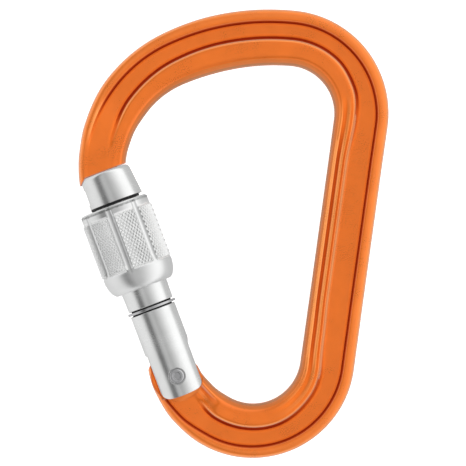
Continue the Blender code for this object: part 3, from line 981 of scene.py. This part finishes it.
@dataclass(frozen=True)
class Sleeve:
    """The screw sleeve, fluted and knurled for grip, with a wide mouth that closes over the gate's tip."""

    name: str = "screw_sleeve"
    low: float = 21.4 * MM
    top: float = 41.2 * MM
    crest: float = 8.3 * MM
    land: float = 7.95 * MM
    bore: float = 5.8 * MM
    mouth: float = 7.3 * MM
    mouth_depth: float = 6.2 * MM
    knurl_low: float = 26.2 * MM
    knurl_top: float = 38.9 * MM
    knurl_pitch: float = 1.21 * MM
    knurl_depth: float = 0.3 * MM
    knurl_flat: float = 1.25
    knurl_wear: float = 0.18
    teeth: int = 6
    tooth_steps: int = 6
    flutes: int = 8
    flute_steps: int = 12
    flute_phase: float = math.radians(-9.2)
    flute_radius: float = 1.0 * MM
    flute_depth: float = 0.62 * MM
    flute_end: float = 24.3 * MM
    flute_run: float = 3.6 * MM
    ring_middle: float = 22.2 * MM
    ring_half: float = 0.6 * MM
    ring_outer: float = 6.35 * MM

    def flute_turn(self, turn: float) -> float:
        """The angle from the nearest flute's middle."""
        pitch = 2 * math.pi / self.flutes
        return (turn - self.flute_phase + pitch / 2) % pitch - pitch / 2

    def flute_half(self) -> float:
        """Work out how wide a flute is.

        Returns:
            Half of the angle that a flute takes at the crest.
        """
        reach = self.crest + self.flute_radius - self.flute_depth
        cosine = (reach**2 + self.crest**2 - self.flute_radius**2) / (2 * reach * self.crest)
        return math.acos(cosine)

    def columns(self) -> list[float]:
        """Place the mesh's columns.

        Returns:
            Their angles, across each flute and across each tooth between flutes.
        """
        pitch, half = 2 * math.pi / self.flutes, self.flute_half()
        across = [half * (2 * n / self.flute_steps - 1) for n in range(self.flute_steps)]
        count = self.teeth * self.tooth_steps
        between = [half + (pitch - 2 * half) * n / count for n in range(count)]
        return [self.flute_phase + n * pitch + turn for n in range(self.flutes) for turn in across + between]

    def relief(self, turn: float, along: float, radius: float) -> float:
        """Cut the knurl and the flutes into the outside.

        Args:
            turn: the angle about the sleeve.
            along: the distance along the gate.
            radius: the plain radius.

        Returns:
            The radius with its relief.
        """
        if radius < self.mouth + 0.2 * MM and along > self.flute_end or radius < self.ring_outer + 0.1 * MM:
            return radius
        off, half = self.flute_turn(turn), self.flute_half()
        if self.knurl_low < along < self.knurl_top and abs(off) > half:
            pitch = 2 * math.pi / self.flutes
            tooth = (off % pitch - half) / (pitch - 2 * half) * self.teeth
            row = (along - self.knurl_low) / self.knurl_pitch
            height = min(wave(tooth + row), wave(tooth - row))
            chance = noise.noise(Vector((round(tooth * 2), round(row * 2), self.flutes * turn)))
            tooth_top = min(1.0, self.knurl_flat * height) * (1 + self.knurl_wear * chance)
            radius = min(self.crest - self.knurl_depth * (1 - tooth_top), self.crest)
        elif self.knurl_low < along < self.knurl_top:
            radius = self.crest
        depth = self.flute_depth * smooth((along - self.flute_end) / self.flute_run)
        reach = self.crest + self.flute_radius - depth
        inside = self.flute_radius**2 - (reach * math.sin(off)) ** 2
        if inside > 0 and along > self.flute_end:
            radius = min(radius, reach * math.cos(off) - math.sqrt(inside))
        return radius

    def profile(self) -> Outline:
        """Draw the sleeve's section.

        Returns:
            The closed profile, outside first from the top.
        """
        land, rows = self.land, round((self.knurl_top - self.knurl_low) / self.knurl_pitch * 8)
        knurl = [
            (land, self.knurl_top - (self.knurl_top - self.knurl_low) * n / rows) for n in range(rows + 1)
        ]
        crown = (
            (land, self.low + 4.8 * MM, 0), (8.22 * MM, self.low + 4.2 * MM, 0.5 * MM),
            (7.95 * MM, self.low + 2.2 * MM, 1.0 * MM), (7.3 * MM, self.low + 0.7 * MM, 0.8 * MM),
            (6.5 * MM, self.low, 0.3 * MM), (self.bore, self.low, 0),
        )
        lower, upper = self.ring_middle - self.ring_half, self.ring_middle + self.ring_half
        top = (
            (self.mouth, self.top, 0), (land - 0.35 * MM, self.top, 0.2 * MM),
            (land, self.top - 0.6 * MM, 0.25 * MM), (land, self.knurl_top + 0.1 * MM, 0),
        )
        depth = self.top - self.mouth_depth
        inside = [
            (self.bore, lower), (self.ring_outer, lower), (self.ring_outer, upper), (self.bore, upper),
            (self.bore, depth - 1.2 * MM), (self.mouth, depth),
        ]
        band = [(land, self.knurl_top + 0.5 * MM * n) for n in (4, 3, 2, 1)]
        return rounded(top, 3)[:-1] + band + knurl + self.closer(rounded(crown, 4)[1:]) + inside

    def closer(self, line: Outline) -> Outline:
        """Add points where a line's steps are long.

        Args:
            line: (radius, distance along the gate).

        Returns:
            The line with its steps all short.
        """
        made = [line[0]]
        for start, end in zip(line, line[1:]):
            count = max(1, round(math.dist(start, end) / (0.35 * MM)))
            made += [tuple(Vector(start).lerp(Vector(end), n / count)) for n in range(1, count + 1)]
        return made

    def build(self) -> bpy.types.Object:
        """Make the sleeve.

        Returns:
            The sleeve as one closed mesh, with painted shade in the valleys of its knurl.
        """
        sleeve = lathe(self.name, self.profile(), GATE, self.columns(), closed=True, relief=self.relief)
        # paint shade into the knurl's valleys, darker the deeper they are
        for vertex, tint in zip(sleeve.data.vertices, sleeve.data.attributes[TINT].data):
            x, along, z = vertex.co
            depth = self.crest - math.hypot(x, z)
            fluted = abs(self.flute_turn(math.atan2(x, z))) <= self.flute_half()
            if self.knurl_low < along < self.knurl_top and depth < self.crest - self.mouth and not fluted:
                tint.color = (*Tone.VALLEY_SHADE.at(smooth(2 * depth / self.knurl_depth - 1)), 1)
        return sleeve

    def dress(self) -> None:
        """Build the sleeve and place it."""
        place_piece(self.build(), Body.SLEEVE, "locking_sleeve", KNURLING, 40)


# ---------------------------------------------------------------- small pieces


@dataclass(frozen=True)
class Ring:
    """A ring about the gate, with given sizes, in place of the node that it stands for."""

    name: str
    node: str
    body: Body
    finish: Finish
    inner: float
    outer: float
    middle: float
    width: float
    soft: float
    shift: float = 0.0

    def build(self) -> bpy.types.Object:
        """Turn the ring.

        Returns:
            The ring, with a rounded section.
        """
        half, low, high = self.width / 2, self.inner, self.outer
        top, bottom = self.middle + half, self.middle - half
        line = (
            (low, self.middle, 0), (low, top, self.soft), (high, top, self.soft),
            (high, bottom, self.soft), (low, bottom, self.soft), (low, self.middle, 0),
        )
        return lathe(self.name, rounded(line, 5)[:-1], GATE, 128, closed=True, shift=self.shift)

    def dress(self) -> None:
        """Build the ring and place it."""
        place_piece(self.build(), self.body, self.node, self.finish)


@dataclass(frozen=True)
class Rivet:
    """The hinge rivet, with a ring-shaped head pressed over at each end."""

    name: str = "hinge_rivet_head_and_shank"
    shank: float = 1.2 * MM
    head: float = 1.75 * MM
    head_low: float = 4.5 * MM
    top: float = 5.25 * MM
    dimple: float = 0.75 * MM
    shoulder: float = 1.45 * MM

    def build(self) -> bpy.types.Object:
        """Turn the rivet about Z.

        Returns:
            The rivet, with painted shade in its dimple's corner and on its shoulder.
        """
        upper = rounded((
            (0, self.top - 0.4 * MM, 0), (self.dimple, self.top - 0.45 * MM, 0.1 * MM),
            (self.dimple + 0.2 * MM, self.top, 0.1 * MM), (self.shoulder, self.top - 0.05 * MM, 0.15 * MM),
            (self.head, self.top - 0.4 * MM, 0.1 * MM), (self.head, self.head_low + 0.1 * MM, 0.05 * MM),
            (self.shank, self.head_low, 0),
        ), 4)
        profile = upper + [(radius, -height) for radius, height in reversed(upper)]
        rivet = lathe(self.name, profile, GATE @ Matrix.Rotation(math.radians(90), 4, "X"), 64)
        # paint shade into the dimple's corner and onto the shoulder
        for vertex, tint in zip(rivet.data.vertices, rivet.data.attributes[TINT].data):
            radius = math.hypot(vertex.co.x, vertex.co.z)
            if self.dimple < radius < self.dimple + 0.15 * MM or radius > self.shoulder + 0.15 * MM:
                tint.color = (*Tone.DEEP_SHADE.at(0.75), 1)
        return rivet

    def dress(self) -> None:
        """Build the rivet and place it."""
        place_piece(self.build(), Body.GATE, "hinge_rivet", STAINLESS)


@dataclass(frozen=True)
class Plunger:
    """The plunger that rides on the tang's cam, with a domed tip and a waist."""

    name: str = "cam_plunger"
    radius: float = 2.5 * MM
    tip: float = 4.8 * MM
    top: float = 11.0 * MM
    waist: float = 2.25 * MM
    collar: float = 1.6 * MM

    def build(self) -> bpy.types.Object:
        """Turn the plunger.

        Returns:
            The plunger as one closed mesh.
        """
        soft, slope = 0.1 * MM, 0.2 * MM
        high, low = self.top - self.collar, self.top - 2 * self.collar
        line = (
            (0, self.top, 0), (self.radius, self.top, 0.3 * MM),
            (self.radius, high, soft), (self.waist, high - slope, soft),
            (self.waist, low, soft), (self.radius, low - slope, soft),
            (self.radius, self.tip + 0.9 * MM, 0.8 * MM), (1.2 * MM, self.tip, 0.9 * MM), (0, self.tip, 0),
        )
        return lathe(self.name, rounded(line, 5), GATE, 64)

    def dress(self) -> None:
        """Build the plunger and place it."""
        place_piece(self.build(), Body.PLUNGER, "spring_plunger", STAINLESS)


@dataclass(frozen=True)
class GateSpring:
    """The compression spring between the plunger and the end of the gate's bore."""

    name: str = "coil_spring"
    radius: float = 2.05 * MM
    wire: float = 0.3 * MM
    turns: float = 11.0
    low: float = 11.6 * MM
    top: float = 26.4 * MM
    travel: float = 1.2 * MM
    closed_turns: float = 1.1
    closed_pitch: float = 2.4
    turn_steps: int = 36
    sides: int = 12

    def height(self, share: float) -> float:
        """Follow the wire, which has a closed turn at each end.

        Args:
            share: how far along the wire, from 0 to 1.

        Returns:
            The height of the wire's middle there.
        """
        closed = self.closed_turns / self.turns
        pitch = self.closed_pitch * self.wire * self.turns
        if share < closed:
            return self.low + pitch * share
        if share > 1 - closed:
            return self.top - pitch * (1 - share)
        start, end = self.low + pitch * closed, self.top - pitch * closed
        return start + (end - start) * (share - closed) / (1 - 2 * closed)

    def build(self) -> bpy.types.Object:
        """Sweep the wire along its coil.

        Returns:
            The spring, with a flat cap at each end of its wire.
        """
        count, sides = round(self.turns * self.turn_steps), self.sides
        path, points = [], []
        for n in range(count + 1):
            turn = 2 * math.pi * self.turns * n / count
            across, out = self.radius * math.cos(turn), self.radius * math.sin(turn)
            path.append(Vector((across, self.height(n / count), out)))
        for n, spot in enumerate(path):
            way = (path[min(n + 1, count)] - path[max(n - 1, 0)]).normalized()
            out = Vector((spot.x, 0, spot.z)).normalized()
            side = way.cross(out).normalized()
            turns = [2 * math.pi * m / sides for m in range(sides)]
            points += [spot + self.wire * (out * math.cos(turn) + side * math.sin(turn)) for turn in turns]
        faces = grid_faces(count + 1, sides, False)
        caps = [tuple(range(sides)), tuple(range(len(points) - sides, len(points)))]
        return new_piece(self.name, points, [*faces, *caps], GATE)

    def dress(self) -> None:
        """Build the spring, place it and give it a mesh of its own."""
        spring = self.build()
        place_piece(spring, Body.GATE, "gate_spring", SPRING_WIRE)
        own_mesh(spring)


# ---------------------------------------------------------------- the studio


@dataclass(frozen=True)
class Studio:
    """A pale floor, a soft light tent and the camera."""

    view_centre: Point = (2.81 * MM, -0.87 * MM)
    view_width: float = 105.85 * MM
    view_roll: float = math.radians(7.9)
    camera_height: float = 0.75
    floor_gap: float = 0.2 * MM
    floor_size: float = 1.6
    key_size: float = 0.7
    key_height: float = 0.6
    key_power: float = 3.8
    floor_glow: float = 0.6
    # (angle in degrees about the gate's axis, 0 overhead, brightness)
    bands: tuple[Point, ...] = (
        (-180, 0.68), (-140, 0.74), (-100, 0.82), (-68, 0.84), (-58, 0.6), (-50, 0.14), (-33, 0.12),
        (-25, 0.48), (-12, 0.56), (0, 0.38), (10, 0.52), (22, 0.63), (44, 0.93), (60, 1.1), (88, 1.14),
        (98, 0.6), (116, 0.56), (180, 0.58),
    )

    def tent(self) -> None:
        """Light from all around, in bands along the gate: a bright side, a dim zenith and a dark strip."""
        world = bpy.data.worlds.new("light_tent")
        bpy.context.scene.world = world
        world.use_nodes = True
        graph = Graph(world.node_tree)
        way = graph.node("TexCoord").outputs["Generated"]
        side = graph.node("VectorMath", {0: way, 1: tuple(GATE.to_3x3().col[0])}, operation="DOT_PRODUCT")
        up = graph.node("SeparateXYZ", {0: way}).outputs["Z"]
        angle = graph.math("ARCTAN2", side.outputs["Value"], up)
        share = graph.math("MULTIPLY_ADD", angle, 1 / (2 * math.pi))
        share.node.inputs[2].default_value = 0.5
        stops = [(degrees / 360 + 0.5, (level, level, level)) for degrees, level in self.bands]
        sky = graph.node("Background", {"Color": graph.ramp(share, stops), "Strength": 1.0})
        graph.node("OutputWorld", {"Surface": sky.outputs[0]})

    def floor(self) -> None:
        """A plain white sheet under the carabiner."""
        half, height = self.floor_size / 2, CAD_BOX[0].z - self.floor_gap
        corners = [(-half, -half, height), (half, -half, height), (half, half, height), (-half, half, height)]
        sheet = new_piece("floor", corners, [(0, 1, 2, 3)], Matrix.Identity(4))
        made = bpy.data.materials.new("white_sheet")
        made.use_nodes = True
        graph = Graph(made.node_tree)
        feeds = {
            "Base Color": (0.9, 0.9, 0.9, 1), "Roughness": 0.8,
            "Emission Color": (1, 1, 1, 1), "Emission Strength": self.floor_glow,
        }
        graph.node("OutputMaterial", {"Surface": graph.node("BsdfPrincipled", feeds).outputs[0]})
        sheet.data.materials.append(made)
        sheet.visible_glossy = False

    def key_light(self) -> None:
        """A large soft light overhead, for the floor and the rubber."""
        data = bpy.data.lights.new("key_light", "AREA")
        data.size, data.energy = self.key_size, self.key_power
        light = bpy.data.objects.new("key_light", data)
        bpy.context.scene.collection.objects.link(light)
        light.location = (0, 0, self.key_height)
        light.visible_glossy = False

    def camera(self) -> None:
        """The camera, straight above, with a long lens."""
        data = bpy.data.cameras.new("camera")
        data.lens = data.sensor_width * self.camera_height / self.view_width
        data.clip_start, data.clip_end = 0.05, 10
        camera = bpy.data.objects.new("camera", data)
        bpy.context.scene.collection.objects.link(camera)
        camera.location = (*self.view_centre, self.camera_height)
        camera.rotation_euler = (0, 0, self.view_roll)
        bpy.context.scene.camera = camera

    def build(self) -> None:
        """Set up the light, the floor and the camera."""
        bpy.context.scene.view_settings.view_transform = "Standard"
        self.tent()
        self.floor()
        self.key_light()
        self.camera()


def main() -> None:
    """Build every piece of the carabiner and the studio round it."""
    logging.basicConfig(level=logging.INFO, format="%(message)s")
    Studio().build()
    Bar().dress()
    Gate().dress()
    Sleeve().dress()
    for ring in (
        Ring("seal_ring", "tip_seal_ring", Body.GATE, RUBBER, inner=4.95 * MM, outer=5.75 * MM,
             middle=41.6 * MM, width=0.46 * MM, soft=0.12 * MM, shift=0.6 * MM),
        Ring("stop_ring", "sleeve_stop_ring", Body.GATE, STAINLESS, inner=4.82 * MM, outer=5.7 * MM,
             middle=16.45 * MM, width=0.55 * MM, soft=0.15 * MM),
        Ring("friction_ring", "sleeve_friction_ring", Body.CARRIER, RUBBER, inner=5.4 * MM, outer=6.2 * MM,
             middle=22.2 * MM, width=0.9 * MM, soft=0.42 * MM),
    ):
        ring.dress()
    Rivet().dress()
    Plunger().dress()
    GateSpring().dress()


if __name__ == "__main__":
    main()
